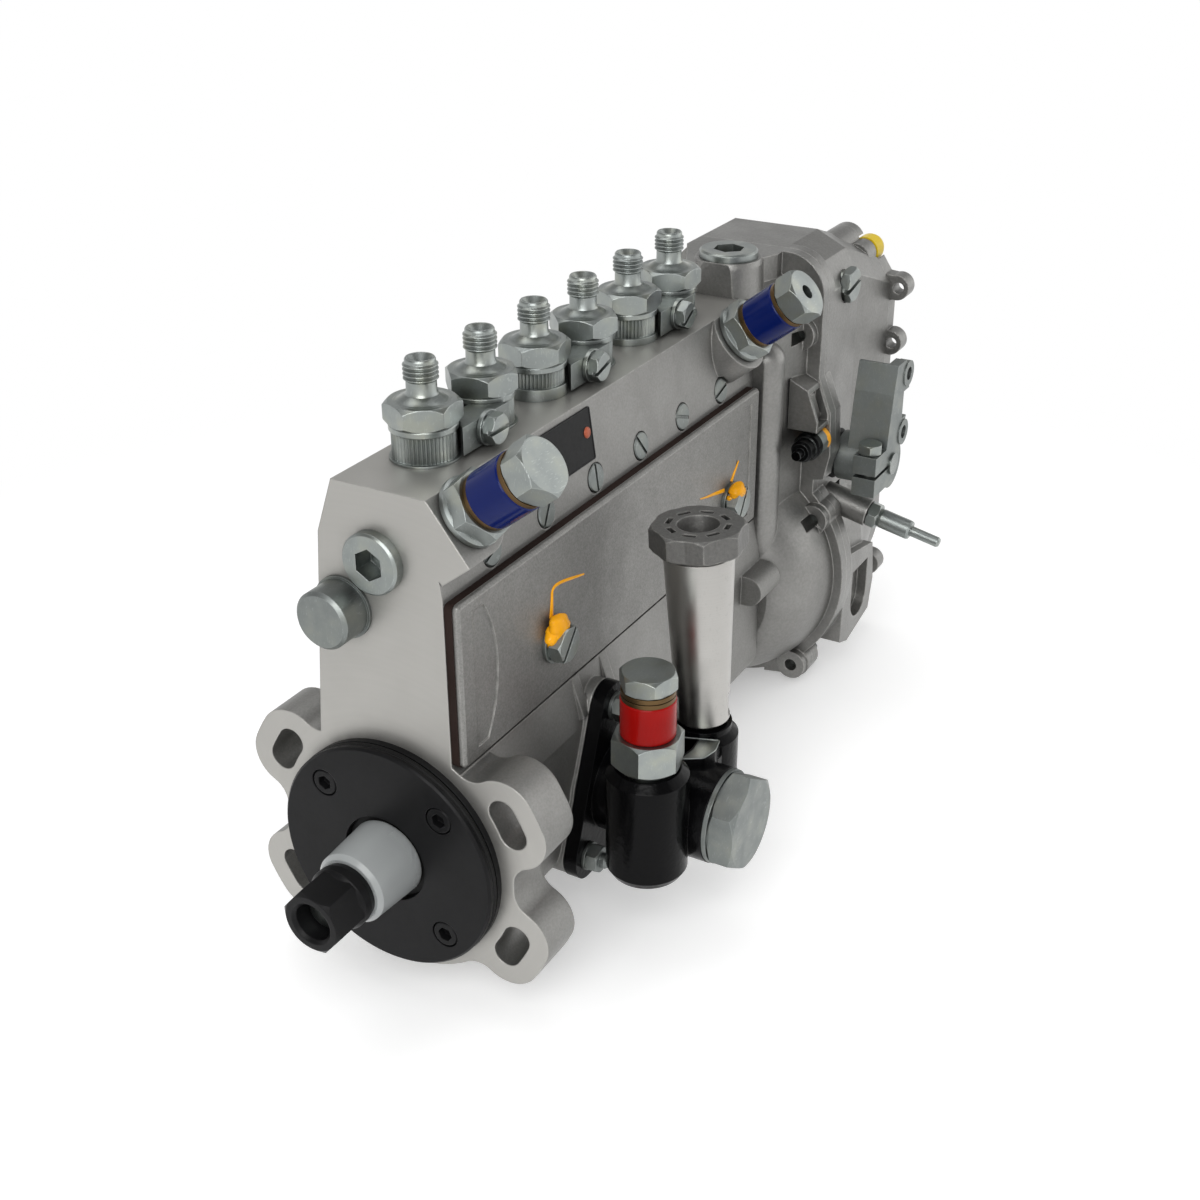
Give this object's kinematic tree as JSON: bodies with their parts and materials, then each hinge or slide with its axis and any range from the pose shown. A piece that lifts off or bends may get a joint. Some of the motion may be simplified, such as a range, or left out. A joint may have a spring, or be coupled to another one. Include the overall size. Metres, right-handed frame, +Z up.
{
  "type": "diesel injection pump",
  "caption": "In-line diesel injection pump with governor, feed pump and hand primer, for flange mounting on an engine; the rack turns the toothed control sleeves.",
  "frame": {"origin": "on the camshaft axis, in the face of the mounting flange", "axes": "+X along the camshaft from the drive end to the governor, +Z up towards the outlets, -Y towards the access cover and the feed pump"},
  "size_m": [0.4062, 0.1606, 0.2338],
  "materials": {
    "cast_aluminium": "satin",
    "cover_aluminium": "matte",
    "black_oxide_steel": "satin",
    "zinc_plated_steel": "satin",
    "bare_steel": "satin",
    "hardened_steel": "satin",
    "sealing_washer": "satin",
    "black_rubber": "matte",
    "brown_gasket": "matte",
    "clear_plastic": "satin",
    "blue_plastic": "gloss",
    "red_plastic": "gloss",
    "yellow_plastic": "satin",
    "black_paint": "gloss",
    "turned_aluminium": "satin"
  },
  "bodies": {
    "housing": {"pump_housing": "cast_aluminium", "side_cover": "cover_aluminium", "side_cover_gasket": "brown_gasket", "side_cover_screws": "zinc_plated_steel", "bearing_cover": "black_oxide_steel", "bearing_cover_screws": "black_oxide_steel", "rubber_seals": "black_rubber", "bearing_cups": "hardened_steel", "cam_followers": "hardened_steel", "plunger_springs": "bare_steel", "barrels_and_valves": "hardened_steel", "delivery_holder_1": "zinc_plated_steel", "delivery_holder_2": "zinc_plated_steel", "delivery_holder_3": "zinc_plated_steel", "delivery_holder_4": "zinc_plated_steel", "delivery_holder_5": "zinc_plated_steel", "delivery_holder_6": "zinc_plated_steel", "rack_end_cap": "bare_steel", "socket_plugs": "zinc_plated_steel", "barrel_screws": "zinc_plated_steel", "clamp_jaws": "zinc_plated_steel", "clamp_screws": "zinc_plated_steel", "union_bodies": "zinc_plated_steel", "hollow_screws": "zinc_plated_steel", "gallery_cap_sleeves": "blue_plastic", "inlet_cap_sleeve": "red_plastic", "sealing_washers": "sealing_washer", "feed_pump_body": "black_paint", "feed_pump_plugs": "zinc_plated_steel", "feed_pump_nuts": "black_oxide_steel", "primer_barrel": "turned_aluminium", "governor_housing": "cast_aluminium", "governor_cover": "cast_aluminium", "governor_end_plate": "cast_aluminium", "governor_bolts": "zinc_plated_steel", "side_plug": "zinc_plated_steel", "adjuster_cap": "yellow_plastic", "stop_screw": "zinc_plated_steel", "sealed_adjuster": "black_oxide_steel"},
    "shaft": {"camshaft": "hardened_steel", "bearing_cones": "hardened_steel", "shaft_sleeve": "clear_plastic", "shaft_nut": "black_oxide_steel", "flyweight_carrier": "bare_steel"},
    "weight_1": {"flyweight_1": "bare_steel"},
    "weight_2": {"flyweight_2": "bare_steel"},
    "sliding_sleeve": {"governor_sleeve": "hardened_steel"},
    "lever": {"control_lever": "zinc_plated_steel", "lever_shaft": "bare_steel", "lever_clamp_screw": "zinc_plated_steel"},
    "fulcrum_lever": {"governor_lever": "bare_steel"},
    "rack": {"control_rack": "hardened_steel"},
    "sleeve_1": {"control_sleeve_1": "hardened_steel"},
    "sleeve_2": {"control_sleeve_2": "hardened_steel"},
    "sleeve_3": {"control_sleeve_3": "hardened_steel"},
    "sleeve_4": {"control_sleeve_4": "hardened_steel"},
    "sleeve_5": {"control_sleeve_5": "hardened_steel"},
    "sleeve_6": {"control_sleeve_6": "hardened_steel"},
    "primer": {"primer_knob": "turned_aluminium", "primer_piston": "black_oxide_steel"}
  },
  "joints": [
    {"name": "camshaft_spin", "type": "hinge", "parent": "housing", "child": "shaft", "pos_m": [0, 0, 0], "axis": [1, 0, 0], "continuous": true},
    {"name": "sliding_sleeve_slide", "type": "slide", "parent": "shaft", "child": "sliding_sleeve", "axis": [1, 0, 0], "range_m": [0, 0.00454], "stiffness_N_per_m": 1500, "springref_m": -0.002},
    {"name": "flyweight_1_swing", "type": "hinge", "parent": "shaft", "child": "weight_1", "pos_m": [0.253, 0, 0.027], "axis": [0, -1, 0], "range_deg": [0, 20.5]},
    {"name": "flyweight_2_swing", "type": "hinge", "parent": "shaft", "child": "weight_2", "pos_m": [0.253, 0, -0.027], "axis": [0, 1, 0], "range_deg": [0, 20.5]},
    {"name": "control_lever_swing", "type": "hinge", "parent": "housing", "child": "lever", "pos_m": [0.2917, 0, 0.0552], "axis": [0, 1, 0], "range_deg": [-18, 18]},
    {"name": "fulcrum_lever_swing", "type": "hinge", "parent": "housing", "child": "fulcrum_lever", "pos_m": [0.2917, 0, 0.004], "axis": [0, 1, 0], "range_deg": [-3.7, 3.7]},
    {"name": "rack_slide", "type": "slide", "parent": "housing", "child": "rack", "axis": [1, 0, 0], "range_m": [-0.0057, 0.0057]},
    {"name": "sleeve_1_turn", "type": "hinge", "parent": "housing", "child": "sleeve_1", "pos_m": [0.0306, 0, 0.09], "axis": [0, 0, 1], "range_deg": [-27.2, 27.2]},
    {"name": "sleeve_2_turn", "type": "hinge", "parent": "housing", "child": "sleeve_2", "pos_m": [0.0656, 0, 0.09], "axis": [0, 0, 1], "range_deg": [-27.2, 27.2]},
    {"name": "sleeve_3_turn", "type": "hinge", "parent": "housing", "child": "sleeve_3", "pos_m": [0.1006, 0, 0.09], "axis": [0, 0, 1], "range_deg": [-27.2, 27.2]},
    {"name": "sleeve_4_turn", "type": "hinge", "parent": "housing", "child": "sleeve_4", "pos_m": [0.1356, 0, 0.09], "axis": [0, 0, 1], "range_deg": [-27.2, 27.2]},
    {"name": "sleeve_5_turn", "type": "hinge", "parent": "housing", "child": "sleeve_5", "pos_m": [0.1706, 0, 0.09], "axis": [0, 0, 1], "range_deg": [-27.2, 27.2]},
    {"name": "sleeve_6_turn", "type": "hinge", "parent": "housing", "child": "sleeve_6", "pos_m": [0.2056, 0, 0.09], "axis": [0, 0, 1], "range_deg": [-27.2, 27.2]},
    {"name": "primer_stroke", "type": "slide", "parent": "housing", "child": "primer", "axis": [0, 0.0488, 0.9988], "range_m": [0, 0.026]}
  ],
  "couplings": [
    {"joint": "flyweight_1_swing", "follows": "sliding_sleeve_slide", "rad_per_m": 76.923},
    {"joint": "flyweight_2_swing", "follows": "sliding_sleeve_slide", "rad_per_m": 76.923},
    {"joint": "fulcrum_lever_swing", "follows": "control_lever_swing", "ratio": 0.2025},
    {"joint": "rack_slide", "follows": "control_lever_swing", "m_per_rad": 0.01812},
    {"joint": "sleeve_1_turn", "follows": "control_lever_swing", "ratio": -1.51},
    {"joint": "sleeve_2_turn", "follows": "control_lever_swing", "ratio": -1.51},
    {"joint": "sleeve_3_turn", "follows": "control_lever_swing", "ratio": -1.51},
    {"joint": "sleeve_4_turn", "follows": "control_lever_swing", "ratio": -1.51},
    {"joint": "sleeve_5_turn", "follows": "control_lever_swing", "ratio": -1.51},
    {"joint": "sleeve_6_turn", "follows": "control_lever_swing", "ratio": -1.51}
  ]
}
